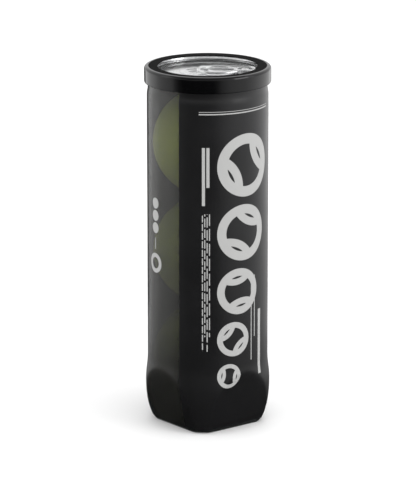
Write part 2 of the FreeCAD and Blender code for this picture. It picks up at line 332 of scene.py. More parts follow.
def sleeveFinish():
    art = sleeveArt
    f = Finish("printedSleeve")
    x, y, z = f.axes()
    around = x.maths("ARCTAN2", y * -1)
    u = around * art["wrapRadius"]
    soft = art["edge"]

    def along(degrees):
        return math.radians(degrees) * art["wrapRadius"]

    def bar(fromDegrees, toDegrees, low, high):
        return u.within(along(fromDegrees), along(toDegrees), soft) * z.within(low * mm, high * mm, soft)

    def dot(degrees, height, radius, hole):
        du = u - along(degrees)
        dv = z - height * mm
        away = (du * du + dv * dv).maths("SQRT")
        mark = 1 - away.over(radius * mm, soft)
        return mark * away.over(hole * mm, soft) if hole else mark

    marks = []
    top = art["ballTop"]
    for index, size in enumerate(art["ballSizes"]):
        width = size * mm
        cu = along(art["ballLeft"]) + width / 2
        marks.append(ballEmblem(u - cu, z - (top - width / 2), width, 0.5 + 0.62 * index, art))
        top -= width + art["ballGap"] * mm
    marks += [bar(*limits) for limits in art["bars"]]
    marks += [dot(*place) for place in art["dots"]]
    # rows of short dashes, each row broken at its own pace
    for row in range(art["dashRows"]):
        dash = ((z + row * 3.1 * mm) / ((5.2 + 1.3 * row) * mm)).maths("FRACT").over(0.2, 0.02)
        marks.append(bar(1.2 + 2.2 * row, 2.2 + 2.2 * row, 52.0 + 9.0 * (row % 2), 136.0) * dash)
    for line in range(art["backLines"]):
        marks.append(bar(118.0 + 3.4 * line, 118.9 + 3.4 * line, 62.0 + 9.0 * (line % 3), 170.0))
    ink = marks[0]
    for mark in marks[1:]:
        ink = ink.maths("MAXIMUM", mark)
    window = u.within(along(art["windowFrom"]), along(art["windowTo"]), soft)
    clear = window * (1 - ink)
    mottle = f.cloud(26, 4)
    film = f.blend(f.spread(mottle, 0.0, 1.0), art["black"], tuple(c * 1.5 for c in art["black"]))
    printed = f.blend(ink, film, art["ink"])
    # the smoke strip is lighter and clearer towards the top, darker and more solid towards the foot
    rise = f.spread(z, 0.0, 1.0, 30 * mm, 175 * mm)
    smoke = f.blend(rise, art["smokeFoot"], art["smokeTop"])
    color = f.blend(clear, printed, smoke)
    scuff = f.cloud(900, 2, vector=f.stretched((1, 1, 0.12)))
    rough = f.spread(mottle, 0.27, 0.34) + scuff.over(0.66, 0.05) * 0.08 + ink * 0.1 - clear * 0.08
    dimple = f.cloud(75, 2) * 0.6 + f.cloud(320, 2, vector=f.stretched((1, 1, 0.4))) * 0.12
    normal = f.bump(dimple + ink * 0.1, 0.12 * mm)
    seen = f.spread(rise, art["seenFoot"], art["seenTop"], 0.0, 1.0)
    return f.surface(Base_Color=color, Roughness=rough, Alpha=1 - clear * (1 - seen),
                     Coat_Weight=clear * 0.8, Coat_Roughness=0.2, Normal=normal)


def bottleFinish():
    f = Finish("clearBottle")
    flow = f.cloud(45, 1, vector=f.stretched((1, 1, 0.25)))
    rough = f.spread(flow, 0.06, 0.14)
    normal = f.bump(flow, 0.15 * mm, 0.6)
    tone = f.blend(f.spread(flow, 0.0, 1.0), (0.012, 0.013, 0.013), (0.020, 0.021, 0.021))
    z = f.axes()[2]
    # the wall is darker and more solid towards the foot, fading out by 62 mm
    towardsFoot = 1 - (z / (62 * mm)).maths("SMOOTH_MAX", 0.0, 0.2).maths("MINIMUM", 1.0)
    return f.surface(Base_Color=tone, Roughness=rough, Alpha=f.spread(flow, 0.24, 0.30) + towardsFoot * 0.68,
                     Normal=normal, Specular_IOR_Level=0.8)


overcapArt = {
    "mattRadius": 35.2 * mm,    # out to the lip's inner edge
}


def overcapFinish():
    f = Finish("blackOvercap")
    flow = f.cloud(45, 3)
    grain = f.cloud(1500, 2)
    scuff = f.cloud(700, 3, vector=f.stretched((1, 1, 0.1)))
    tone = f.blend(f.spread(flow, 0.0, 1.0), (0.0010, 0.0010, 0.0012), (0.0020, 0.0020, 0.0023))
    rough = f.spread(flow, 0.04, 0.08) + scuff.over(0.68, 0.05) * 0.12
    normal = f.bump(grain * 0.25 + flow * 0.6, 0.05 * mm)
    polished = f.principled(Base_Color=tone, Roughness=rough, Normal=normal)
    # the band inside the lip is spark-eroded, so it stays black at a low angle
    mattTone = f.blend(f.spread(grain, 0.0, 1.0), (0.006, 0.006, 0.006), (0.012, 0.012, 0.012))
    matt = f.principled(Base_Color=mattTone, Roughness=f.spread(grain, 0.7, 0.9), Specular_IOR_Level=0.02,
                        Normal=f.bump(grain, 0.06 * mm))
    x, y = f.axes()[:2]
    band = 1 - (x * x + y * y).maths("SQRT").over(overcapArt["mattRadius"], 0.15 * mm)
    f.finishWith(f.node("ShaderNodeMixShader", None, {0: band, 1: polished, 2: matt}))
    return f.material


def windowFinish():
    f = Finish("clearWindow")
    haze = f.cloud(90, 4)
    x, y = f.axes()[:2]
    away = (x * x + y * y).maths("SQRT")
    gate = 1 - away.over(1.1 * mm, 0.3 * mm)
    scuff = f.cloud(420, 3, vector=f.stretched((1, 0.12, 1), (0, 0, 0.5)))
    marks = scuff.over(0.68, 0.06)
    rough = f.spread(haze, 0.03, 0.08) + marks * 0.25 + gate * 0.3
    alpha = f.spread(haze, 0.02, 0.04) + marks * 0.04 + gate * 0.12
    return f.surface(Base_Color=(0.6, 0.62, 0.62), Roughness=rough, Alpha=alpha,
                     Normal=f.bump(haze + gate, 0.05 * mm), Specular_IOR_Level=0.6)


def metalFinish(name, tone, roughLow, roughHigh, grainDepth):
    f = Finish(name)
    grain = f.cloud(2600, 3, vector=f.stretched((0.03, 1, 1), (0, 0, 0.4)))
    patch = f.cloud(40, 4)
    smear = f.cloud(170, 3, vector=f.stretched((0.2, 1, 1), (0, 0, 0.9)))
    darker = tuple(c * 0.86 for c in tone)
    color = f.blend(f.spread(patch, 0.0, 0.8), tone, darker)
    rough = f.spread(grain, roughLow, roughHigh) + f.spread(smear, 0.0, 0.06, 0.5, 0.75)
    normal = f.bump(grain, grainDepth, 0.8)
    return f.surface(Base_Color=color, Metallic=1.0, Roughness=rough, Normal=normal)


def feltFinish():
    f = Finish("yellowFelt")
    tuft = f.cloud(520, 5, 0.65)
    nap = f.cloud(1900, 4, 0.7)
    patch = f.cloud(70, 3)
    shade = f.blend(f.spread(tuft, 0.0, 1.0), (0.33, 0.42, 0.018), (0.54, 0.63, 0.062))
    fleck = f.blend(f.spread(nap, 0.0, 0.55, 0.35, 0.7), shade, (0.61, 0.67, 0.155))
    color = f.blend(f.spread(patch, 0.0, 0.25), fleck, (0.42, 0.51, 0.045))
    normal = f.bump(nap, 0.25 * mm, 0.7, under=f.bump(tuft, 0.8 * mm, 0.8))
    return f.surface(Base_Color=color, Roughness=f.spread(nap, 0.82, 0.96), Normal=normal,
                     Sheen_Weight=0.4, Sheen_Roughness=0.45, Sheen_Tint=(0.85, 0.95, 0.35),
                     Specular_IOR_Level=0.2)


def rubberFinish(name, tone, lighter, scale):
    f = Finish(name)
    grain = f.cloud(scale, 4, 0.6)
    pits = f.cells(scale * 0.8)
    color = f.blend(f.spread(grain, 0.0, 1.0), tone, lighter)
    normal = f.bump(grain + pits * 0.4, 0.12 * mm, 0.7)
    return f.surface(Base_Color=color, Roughness=f.spread(grain, 0.62, 0.85), Normal=normal)


finishes = {
    "sleeve": sleeveFinish(),
    "bottle": bottleFinish(),
    "overcap": overcapFinish(),
    "window": windowFinish(),
    "end": metalFinish("endMetal", (0.92, 0.925, 0.93), 0.10, 0.18, 0.006 * mm),
    "tab": metalFinish("tabMetal", (0.90, 0.905, 0.91), 0.11, 0.19, 0.006 * mm),
    "felt": feltFinish(),
    "seam": rubberFinish("seamRubber", (0.60, 0.61, 0.52), (0.72, 0.72, 0.63), 900),
    "core": rubberFinish("coreRubber", (0.10, 0.095, 0.085), (0.17, 0.16, 0.145), 700),
    "gasket": rubberFinish("sealingCompound", (0.45, 0.45, 0.40), (0.56, 0.55, 0.50), 1200),
}
print("finishes made")


# bottle and sleeve

bottleDims = {
    "wall": 0.6 * mm,
    "bodyRadius": 35.8 * mm,
    "crestRadius": 37.0 * mm,
    "footRadius": 30.0 * mm,
    "crestHeight": 26.0 * mm,
    "blendHeight": 41.5 * mm,
    "flatApothem": 25.0 * mm,
    "flatLean": math.radians(16.7),
    "creaseBlend": 0.35 * mm,
    "domeRadius": 19.0 * mm,
    "domeRise": 5.6 * mm,
    "neckRadius": 35.25 * mm,
    "neckStart": 205.65 * mm,
    "neckBlend": 4.3 * mm,
    "flangeRadius": 35.9 * mm,
    "flangeHeight": 0.9 * mm,
    "segments": 224,
}
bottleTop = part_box("can_body")[1].z


def flatLimit(radius, height, angle, inset):
    # the four flats that lean out between the heel's narrow corners
    if height > bottleDims["blendHeight"]:
        return radius
    lean = bottleDims["flatLean"]
    apothem = bottleDims["flatApothem"] + height * math.tan(lean) - inset / math.cos(lean)
    offFlat = angle % quarterTurn - quarterTurn / 2
    return softMin(radius, apothem / math.cos(offFlat), bottleDims["creaseBlend"])


def bottleSide(inset, top):
    # the wall's outline from the foot up, drawn in by inset
    d = bottleDims
    path = []
    for step in range(19):
        turn = quarterTurn * step / 18
        path.append((d["footRadius"] + (d["crestRadius"] - d["footRadius"] - inset) * math.sin(turn),
                     d["crestHeight"] - (d["crestHeight"] - inset) * math.cos(turn)))
    path += ogee(path[-1], (d["bodyRadius"] - inset, d["blendHeight"]), 12)[1:]
    for step in range(1, 13):
        path.append((d["bodyRadius"] - inset,
                     d["blendHeight"] + (d["neckStart"] - d["neckBlend"] - d["blendHeight"]) * step / 12))
    path += ogee(path[-1], (d["neckRadius"] - inset, d["neckStart"]), 10)[1:]
    path.append((d["neckRadius"] - inset, top))
    return path


def domeSide(grow):
    d = bottleDims
    radius = (d["domeRadius"] ** 2 + d["domeRise"] ** 2) / (2 * d["domeRise"])
    reach = math.sqrt((radius + grow) ** 2 - (radius - d["domeRise"] + grow) ** 2)
    path = []
    for step in range(10):
        r = reach * step / 9
        path.append((r, math.sqrt((radius + grow) ** 2 - r * r) - radius + d["domeRise"]))
    return path


def makeBottle():
    d = bottleDims
    under = bottleTop - d["flangeHeight"]
    outside = [(r, z, 0.0) for r, z in domeSide(0.0) + bottleSide(0.0, under)]
    edge = d["flangeRadius"]
    flange = [(edge - 0.2 * mm, under, 0.0), (edge, under + 0.2 * mm, 0.0),
              (edge, bottleTop - 0.25 * mm, 0.0), (edge - 0.25 * mm, bottleTop, 0.0)]
    inside = [(r, z, d["wall"]) for r, z in domeSide(d["wall"]) + bottleSide(d["wall"], bottleTop)]
    path = outside + flange + inside[::-1]
    verts = []
    segments = d["segments"]
    for radius, height, inset in path:
        for step in range(segments):
            angle = 2 * math.pi * step / segments
            r = flatLimit(radius, height, angle, inset) if radius > d["domeRadius"] * 1.05 else radius
            verts.append((r * math.sin(angle), -r * math.cos(angle), height))
    return pieceFrom("bottle", verts, bandFaces(len(path), segments, False), finishes["bottle"], 50)


bottle = makeBottle()
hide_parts("can_body")
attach(bottle, "can")
print("bottle made")

sleeveDims = {
    "clear": 0.06 * mm,         # over the bottle
    "thickness": 0.22 * mm,
    "lap": 5.0 * mm,            # glued lap at the back
    "lapRise": 0.04 * mm,
    "ripple": 0.03 * mm,
    "rows": 150,
}
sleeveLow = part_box("label_sleeve")[0].z
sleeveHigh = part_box("label_sleeve")[1].z


def sampledSide(inset, low, high, rows):
    # the bottle's side resampled evenly between two heights
    side = bottleSide(inset, high + 2 * mm)
    heights = [z for r, z in side]
    radii = [r for r, z in side]
    levels = np.linspace(low, high, rows)
    return list(zip(np.interp(levels, heights, radii), levels))


def makeSleeve():
    d = sleeveDims
    outer = -d["clear"] - d["thickness"]
    rows = [(r, z, outer) for r, z in sampledSide(outer, sleeveLow, sleeveHigh, d["rows"])]
    rows += [(r, z, -d["clear"]) for r, z in sampledSide(-d["clear"], sleeveLow, sleeveHigh, d["rows"])][::-1]
    segments = bottleDims["segments"]
    verts = []
    lapHalf = d["lap"] / 2 / bottleDims["bodyRadius"]
    for radius, height, inset in rows:
        for step in range(segments):
            angle = 2 * math.pi * step / segments
            r = flatLimit(radius, height, angle, inset)
            if inset == outer:
                fromBack = abs(angle - math.pi)
                r += d["lapRise"] * max(0.0, min(1.0, (lapHalf - fromBack) / lapHalf * 8))
                spot = Vector((math.sin(angle) * 3.0, math.cos(angle) * 3.0, height * 55))
                r += d["ripple"] * (noise.noise(spot) - 0.6)
            verts.append((r * math.sin(angle), -r * math.cos(angle), height))
    return pieceFrom("sleeve", verts, bandFaces(len(rows), segments, True), finishes["sleeve"], 50)


sleeve = makeSleeve()
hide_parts("label_sleeve")
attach(sleeve, "can")
print("sleeve made")


# seamed end

endDims = {
    "metal": 0.25 * mm,
    "mouthRadius": 33.5 * mm,
    "chuckInner": 34.35 * mm,
    "hookRadius": 35.3 * mm,
    "panelRadius": 33.2 * mm,
    "rimBead": 31.7 * mm,
    "rimBeadHeight": 0.5 * mm,
    "sunkBead": 28.4 * mm,
    "sunkBeadDepth": 0.4 * mm,
    "beadHalf": 0.95 * mm,
    "wellRadius": 10.0 * mm,
    "wellStep": 2.6 * mm,
    "wellDepth": 0.7 * mm,
    "seamCurve": 0.28 * mm,
    "hookDrop": 2.9 * mm,       # of the seam's outside, down to its hook
    "ribFrom": -2.0 * mm,       # stiffening beads that run alongside the tab
    "ribTo": 19.0 * mm,
    "ribAside": 15.5 * mm,
    "ribTaper": 0.1,
    "ribHalf": 1.1 * mm,
    "ribHeight": 0.32 * mm,
    "padRadius": 3.2 * mm,      # raised pad under the rivet
    "padHeight": 0.05 * mm,
    "headHeight": 0.5 * mm,
}
seamLow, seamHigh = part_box("end_ring")[0].z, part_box("end_ring")[1].z
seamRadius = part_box("end_ring")[1].x


def makeEndRing():
    d = endDims
    metal = d["metal"]
    curve = d["seamCurve"]
    hookLevel = seamHigh - d["hookDrop"]
    corners = [
        (d["hookRadius"], hookLevel, 0.1 * mm),
        (seamRadius, hookLevel, 0.5 * mm),
        (seamRadius, seamHigh, 0.75 * mm),
        (d["chuckInner"], seamHigh, 0.6 * mm),
        (d["chuckInner"], seamLow + metal, curve),
        (d["mouthRadius"] + metal, seamLow + metal, curve),
        (d["mouthRadius"] + metal, panelLevel, 0.1 * mm),
        (d["mouthRadius"], panelLevel, 0.1 * mm),
        (d["mouthRadius"], seamLow, 0.4 * mm),
        (d["chuckInner"] + metal, seamLow, 0.4 * mm),
        (d["chuckInner"] + metal, seamHigh - metal, 0.2 * mm),
        (seamRadius - metal, seamHigh - metal, 0.5 * mm),
        (seamRadius - metal, hookLevel + metal, 0.3 * mm),
        (d["hookRadius"], hookLevel + metal, 0.1 * mm),
    ]
    return turned("seamedRing", rounded(corners, 6), finishes["end"], 224, 55)


# the tab lies over the panel; its own measures run along its length from the can's axis
tabDims = {
    "angle": math.radians(12.5),
    "nose": 29.2 * mm,
    "noseRadius": 7.0 * mm,
    "length": 36.0 * mm,
    "ringHalfLength": 12.4 * mm,
    "ringHalfWidth": 11.0 * mm,
    "band": 2.4 * mm,
    "curl": 0.62 * mm,
    "innerCurl": 0.5 * mm,
    "thickness": 1.4 * mm,
    "neckBlend": 4.0 * mm,
    "web": 0.42 * mm,
    "webRise": 0.62 * mm,
    "lipAway": 0.35 * mm,       # rolled lip round the tongue's slot
    "lipCurl": 0.32 * mm,
    "tongueHalf": 3.6 * mm,
    "tongueLength": 7.8 * mm,
    "tongueThickness": 0.45 * mm,
    "tongueNoseGap": 2.9 * mm,
    "gap": 0.3 * mm,
    "rivetRadius": 1.6 * mm,
    "rivetHead": 2.5 * mm,
}
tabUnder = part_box("pull_tab")[0].z
panelLevel = tabUnder - tabDims["gap"]
ringCentre = tabDims["nose"] - tabDims["length"] + tabDims["ringHalfLength"]
tongueRoot = tabDims["nose"] - tabDims["tongueNoseGap"]
tongueEnd = tongueRoot - tabDims["tongueLength"]
rivetReach = (tongueRoot + tongueEnd) / 2
tabTurn = Matrix.Rotation(tabDims["angle"], 4, "Z")


def bead(distance, half, height):
    return height * (0.5 + 0.5 * math.cos(math.pi * distance / half)) if abs(distance) < half else 0.0


def shelf(distance, half):
    # 1 inside an edge, 0 outside it, with a rounded draw
    t = max(0.0, min(1.0, 0.5 - distance / half / 2))
    return t * t * (3 - 2 * t)


def panelHeight(x, y):
    d = endDims
    local = tabTurn.inverted() @ Vector((x, y, 0))
    away = math.hypot(x, y)
    level = bead(away - d["rimBead"], d["beadHalf"], d["rimBeadHeight"])
    level -= bead(away - d["sunkBead"], d["beadHalf"], d["sunkBeadDepth"])
    fromWell = math.hypot(local.x - (ringCentre - tabDims["ringHalfLength"]), local.y)
    level -= d["wellDepth"] * shelf(fromWell - d["wellRadius"] + 0.4 * mm, 0.7 * mm)
    level -= d["wellDepth"] * shelf(fromWell - d["wellRadius"] + d["wellStep"] + 0.4 * mm, 0.7 * mm)
    for side in (-1, 1):
        run = min(max(local.x, d["ribFrom"]), d["ribTo"])
        off = math.hypot(local.x - run, local.y - side * (d["ribAside"] - d["ribTaper"] * run))
        level += bead(off, d["ribHalf"], d["ribHeight"])
    fromRivet = math.hypot(local.x - rivetReach, local.y)
    return level + d["padHeight"] * shelf(fromRivet - d["padRadius"], 0.8 * mm)


def makeTearPanel():
    d = endDims
    rings, segments = 120, 240
    radii = [d["panelRadius"] * step / rings for step in range(rings + 1)]
    verts = []
    rows = [(r, 0.0) for r in radii] + [(r, -d["metal"]) for r in reversed(radii)]
    for radius, drop in rows:
        for step in range(segments):
            angle = 2 * math.pi * step / segments
            x, y = radius * math.sin(angle), -radius * math.cos(angle)
            verts.append((x, y, panelLevel + panelHeight(x, y) + drop))
    sheet = pieceFrom("panelSheet", verts, bandFaces(len(rows), segments, False), finishes["end"], 60)
    t = tabDims
    headUnder = panelLevel + t["tongueThickness"] + 0.1 * mm
    corners = [
        (0.0, panelLevel - 0.1 * mm, 0.0),
        (t["rivetRadius"], panelLevel - 0.1 * mm, 0.0),
        (t["rivetRadius"], headUnder, 0.0),
        (t["rivetHead"], headUnder, 0.15 * mm),
        (t["rivetHead"], headUnder + d["headHeight"], 0.3 * mm),
        (1.1 * mm, headUnder + d["headHeight"], 0.25 * mm),
        (0.7 * mm, headUnder + 0.22 * mm, 0.2 * mm),
        (0.0, headUnder + 0.2 * mm, 0.0),
    ]
    rivet = turned("rivetHead", rounded(corners, 4), finishes["end"], 48, 50)
    rivet.data.transform(tabTurn @ Matrix.Translation((rivetReach, 0, 0)))
    return joined("tearPanel", [sheet, rivet], finishes["end"], 60)


def flatPlate(name, loops, thickness, height, material, edge=0.08 * mm):
    # plate with holes, from closed loops in the tab's own plane, edges just broken
    curve = bpy.data.curves.new(name, "CURVE")
    curve.dimensions = "2D"
    curve.fill_mode = "BOTH"
    curve.extrude = thickness / 2 - edge
    curve.bevel_depth = edge
    curve.bevel_resolution = 2
    curve.offset = -edge
    for loop in loops:
        spline = curve.splines.new("POLY")
        spline.points.add(len(loop) - 1)
        for point, (x, y) in zip(spline.points, loop):
            point.co = (x, y, 0, 1)
        spline.use_cyclic_u = True
    holder = bpy.data.objects.new(name, curve)
    bpy.context.scene.collection.objects.link(holder)
    graph = bpy.context.evaluated_depsgraph_get()
    mesh = bpy.data.meshes.new_from_object(holder.evaluated_get(graph))
    bpy.data.objects.remove(holder)
    mesh.transform(tabTurn @ Matrix.Translation((0, 0, height)))
    work = bmesh.new()
    work.from_mesh(mesh)
    bmesh.ops.remove_doubles(work, verts=work.verts, dist=1e-6)
    bmesh.ops.recalc_face_normals(work, faces=work.faces)
    work.to_mesh(mesh)
    work.free()
    return shown(name, mesh, material, 35)


def rolledEdge(name, loop, radius, height, material, tall=1.0):
    # round-section curl that follows a closed loop in the tab's plane
    sides, count = 12, len(loop)
    verts = []
    for index in range(count):
        here = Vector(loop[index])
        ahead = Vector(loop[(index + 1) % count]) - Vector(loop[index - 1])
        across = Vector((ahead.y, -ahead.x)).normalized()
        for side in range(sides):
            turn = 2 * math.pi * side / sides
            spot = here + across * (radius * math.cos(turn))
            verts.append((spot.x, spot.y, height + radius * tall * math.sin(turn)))
    piece = pieceFrom(name, verts, bandFaces(count, sides, True), material, 60)
    piece.data.transform(tabTurn)
    return piece


def ovalLoop(halfLength, halfWidth, steps=72, centre=None):
    middle = ringCentre if centre is None else centre
    return [(middle + halfLength * math.cos(2 * math.pi * n / steps),
             halfWidth * math.sin(2 * math.pi * n / steps)) for n in range(steps)]


def tabHalfWidth(u):
    t = tabDims
    acrossRing = 1 - ((u - ringCentre) / t["ringHalfLength"]) ** 2
    ring = t["ringHalfWidth"] * math.sqrt(max(acrossRing, 0.0))
    noseCentre = t["nose"] - t["noseRadius"]
    beyond = max(u - noseCentre, 0.0)
    shank = math.sqrt(max(t["noseRadius"] ** 2 - beyond ** 2, 0.0)) if u > ringCentre else 0.0
    wide = max(ring, shank)
    if u > ringCentre + 0.4 * t["ringHalfLength"]:
        overlap = max(t["neckBlend"] - abs(ring - shank), 0) / t["neckBlend"]
        wide += overlap * overlap * t["neckBlend"] / 4 * min(1.0, (t["nose"] - u) / (6 * mm))
    return wide


def tabOutline(inset, steps=70):
    start = ringCentre - tabDims["ringHalfLength"]
    end = tabDims["nose"]
    loop = []
    for side in (1, -1):
        order = range(steps) if side == 1 else range(steps, 0, -1)
        for step in order:
            u = start + (end - start) * (0.5 - 0.5 * math.cos(math.pi * step / steps))
            loop.append(Vector((u, side * tabHalfWidth(u))))
    moved = []
    count = len(loop)
    for index in range(count):
        ahead = loop[(index + 1) % count] - loop[index - 1]
        inward = Vector((ahead.y, -ahead.x)).normalized()
        moved.append(tuple(loop[index] + inward * inset))
    return moved


def slotLoop(low, high, half, corner, steps=6):
    loop = []
    for cu, cv, start in ((high - corner, half - corner, 0), (low + corner, half - corner, 1),
                          (low + corner, corner - half, 2), (high - corner, corner - half, 3)):
        for step in range(steps + 1):
            turn = quarterTurn * (start + step / steps)
            loop.append((cu + corner * math.cos(turn), cv + corner * math.sin(turn)))
    return loop


def makePullTab():
    t = tabDims
    middle = tabUnder + t["thickness"] / 2
    curl, inner = t["curl"], t["innerCurl"]
    tall = t["thickness"] / 2 / curl
    hole = (t["ringHalfLength"] - t["band"], t["ringHalfWidth"] - t["band"])
    slot = slotLoop(tongueEnd - t["gap"], tongueRoot + t["gap"], t["tongueHalf"] + t["gap"], 1.2 * mm)
    eyeLoop = ovalLoop(hole[0] + inner, hole[1] + inner)
    webUnder = tabUnder + t["webRise"]
    web = flatPlate("tabWeb", [tabOutline(curl), eyeLoop, slot], t["web"], webUnder, finishes["tab"])
    rim = rolledEdge("tabRim", tabOutline(curl), curl, middle, finishes["tab"], tall)
    eye = rolledEdge("tabEye", eyeLoop, inner, middle, finishes["tab"], tall * 0.95)
    out = t["gap"] + t["lipAway"]
    lipLoop = slotLoop(tongueEnd - out, tongueRoot + out, t["tongueHalf"] + out, 1.4 * mm)
    lip = rolledEdge("slotLip", lipLoop, t["lipCurl"], webUnder + 0.1 * mm, finishes["tab"])
    return joined("pullTab", [web, rim, eye, lip], finishes["tab"], 50)


def makeTongue():
    t = tabDims
    outline = slotLoop(tongueEnd, tongueRoot, t["tongueHalf"], 1.1 * mm)
    hole = ovalLoop(t["rivetRadius"] + 0.05 * mm, t["rivetRadius"] + 0.05 * mm, 40, rivetReach)
    height = panelLevel + 0.05 * mm + t["tongueThickness"] / 2
    return flatPlate("tabTongue", [outline, hole], t["tongueThickness"], height, finishes["tab"])


for piece, node, body, slotName in (
        (makeEndRing(), "end_ring", "can", "end_metal"),
        (makeTearPanel(), "tear_panel", "tear_panel", "end_metal"),
        (makeTongue(), "tab_tongue", "tear_panel", "tab_metal"),
        (makePullTab(), "pull_tab", "pull_tab", "tab_metal")):
    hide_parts(node)
    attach(piece, body)
print("end made")


# overcap

capDims = {
    "wall": 0.7 * mm,
    "plate": 1.0 * mm,
    "shoulder": 1.95 * mm,
    "shoulderDrop": 1.8 * mm,
    "lipWidth": 0.6 * mm,
    "lipHeight": 0.15 * mm,
    "groove": 0.4 * mm,
    "bead": 0.2 * mm,
    "beadHeight": 0.8 * mm,
    "beadGap": 0.3 * mm,        # under the seam that the grip bead passes
    "roundness": 0.9,           # of the shoulder, where 1 is a true ellipse
    "windowRadius": 29.7 * mm,
    "lap": 1.5 * mm,
    "ledge": 0.4 * mm,
    "edge": 0.4 * mm,
}
capLow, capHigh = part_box("overcap_ring")


def makeOvercap():
    d = capDims
    outside = capHigh.x
    top = capHigh.z
    flat = top - d["lipHeight"]
    under = flat - d["plate"]
    inner = outside - d["wall"]
    lipOuter = outside - d["shoulder"]
    lipInner = lipOuter - d["lipWidth"]
    rebate = d["windowRadius"] + d["lap"] + 0.05 * mm
    beadTop = seamHigh - endDims["hookDrop"] - d["beadGap"]
    skirt = [
        (inner, capLow.z, 0.08 * mm),
        (outside - d["edge"] * 0.6, capLow.z, 0.2 * mm),
        (outside, capLow.z + d["edge"], 0.25 * mm),
    ]
    shoulder = []
    for step in range(13):
        turn = quarterTurn * step / 12
        shoulder.append((lipOuter + d["shoulder"] * math.cos(turn) ** d["roundness"],
                         top - d["shoulderDrop"] * (1 - math.sin(turn) ** d["roundness"]), 0.0))
    crown = [
        (lipInner, top, 0.15 * mm),
        (lipInner - d["groove"] * 0.8, flat - d["groove"] / 2, 0.12 * mm),
        (lipInner - d["groove"] * 1.8, flat, 0.2 * mm),
        (d["windowRadius"], flat, 0.12 * mm),
        (d["windowRadius"], flat - d["ledge"], 0.04 * mm),
        (rebate, flat - d["ledge"], 0.04 * mm),
        (rebate, under, 0.04 * mm),
        (inner, under, 0.25 * mm),
        (inner, beadTop, 0.2 * mm),
        (inner - d["bead"], beadTop - d["beadHeight"] / 2, 0.2 * mm),
        (inner, beadTop - d["beadHeight"], 0.2 * mm),
    ]
    return turned("overcapRing", rounded(skirt + shoulder + crown, 5), finishes["overcap"], 256, 45)


def makeCapWindow():
    low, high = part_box("overcap_window")
    radius = high.x
    corners = [
        (0.0, low.z, 0.0),
        (radius, low.z, 0.1 * mm),
        (radius, high.z, 0.1 * mm),
        (capDims["windowRadius"] - 1.2 * mm, high.z, 0.3 * mm),
        (capDims["windowRadius"] - 1.7 * mm, high.z - 0.05 * mm, 0.3 * mm),
        (0.0, high.z - 0.03 * mm, 0.0),
    ]
    return turned("capWindow", rounded(corners, 3), finishes["window"], 192, 45)


for piece, node, slotName in ((makeOvercap(), "overcap_ring", "black_cap"),
                              (makeCapWindow(), "overcap_window", "clear_window")):
    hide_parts(node)
    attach(piece, "overcap")
print("overcap made")


# balls

ballDims = {
    "radius": 33.0 * mm,
    "napRoom": 0.45 * mm,       # the cloth's face lies this far in, under the loose nap
    "clothThickness": 1.7 * mm,
    "edgeDrop": 0.85 * mm,
    "edgeWidth": 1.0 * mm,
    "seamWidth": 2.2 * mm,
    "seamSink": 1.25 * mm,
    "swing": 0.24,
    "turnStep": math.radians(177.0),
    "lump": 0.16 * mm,
    "detail": 7,
    "snap": 0.0085,             # how near an edge of the seam a point is drawn onto it, in radians
}
napDims = {
    "density": 430000.0,        # fibres in a square metre
    "length": 0.95 * mm,
    "thickness": 0.03,          # of a fibre's length
    "seed": 11,
}


def seamField(points):
    # side of the seam, and distance from it, for points on a unit ball
    wide, swing = 1 - ballDims["swing"], ballDims["swing"]
    twist = 2 * math.sqrt(wide * swing)
    x, y, z = points.T
    s = z / twist
    first = wide * wide / 2 - wide * swing - 1.5 * swing * swing
    value = x * y - (first * s + 2 * swing * swing * s ** 3)
    slope = np.stack([y, x, -(first + 6 * swing * swing * s ** 2) / twist], axis=1)
    slope -= points * (slope * points).sum(1, keepdims=True)
    return value, slope, np.linalg.norm(slope, axis=1)


def ballSurface():
    # an even ball whose points are drawn onto both edges of the seam
    work = bmesh.new()
    bmesh.ops.create_icosphere(work, subdivisions=ballDims["detail"], radius=1.0)
    points = np.array([v.co[:] for v in work.verts])
    faces = np.array([[v.index for v in face.verts] for face in work.faces])
    work.free()
    half = ballDims["seamWidth"] / 2 / ballDims["radius"]
    value, slope, steep = seamField(points)
    near = np.abs(np.abs(value) / steep - half) < ballDims["snap"]
    for _ in range(4):
        value, slope, steep = seamField(points)
        aim = np.sign(value) * steep * half
        step = slope * ((aim - value) / steep ** 2)[:, None]
        points[near] += step[near]
        points[near] /= np.linalg.norm(points[near], axis=1, keepdims=True)
    value, slope, steep = seamField(points)
    return points, faces, value, np.abs(value) / steep, half


def lumps(points, scale):
    return np.array([noise.noise(Vector(p) * scale) for p in points])


def clothPiece(name, points, faces, radius, thickness, material):
    # keeps the faces' own points, gives them their radius, and closes a wall under them
    used = np.unique(faces)
    renumber = np.zeros(len(points), dtype=int)
    renumber[used] = np.arange(len(used))
    verts = points[used] * radius[used][:, None]
    mesh = bpy.data.meshes.new(name)
    mesh.from_pydata(verts.tolist(), [], renumber[faces].tolist())
    work = bmesh.new()
    work.from_mesh(mesh)
    outer = list(work.verts)
    rim = [e for e in work.edges if e.is_boundary]
    copy = bmesh.ops.duplicate(work, geom=outer + list(work.edges) + list(work.faces))
    pair = copy["vert_map"]
    for vert in outer:
        pair[vert].co = vert.co * (1 - thickness / vert.co.length)
    for face in [g for g in copy["geom"] if isinstance(g, bmesh.types.BMFace)]:
        face.normal_flip()
    for edge in rim:
        a, b = edge.verts
        work.faces.new((a, b, pair[b], pair[a]))
    bmesh.ops.recalc_face_normals(work, faces=work.faces)
    work.to_mesh(mesh)
    work.free()
    return shown(name, mesh, material, 70)


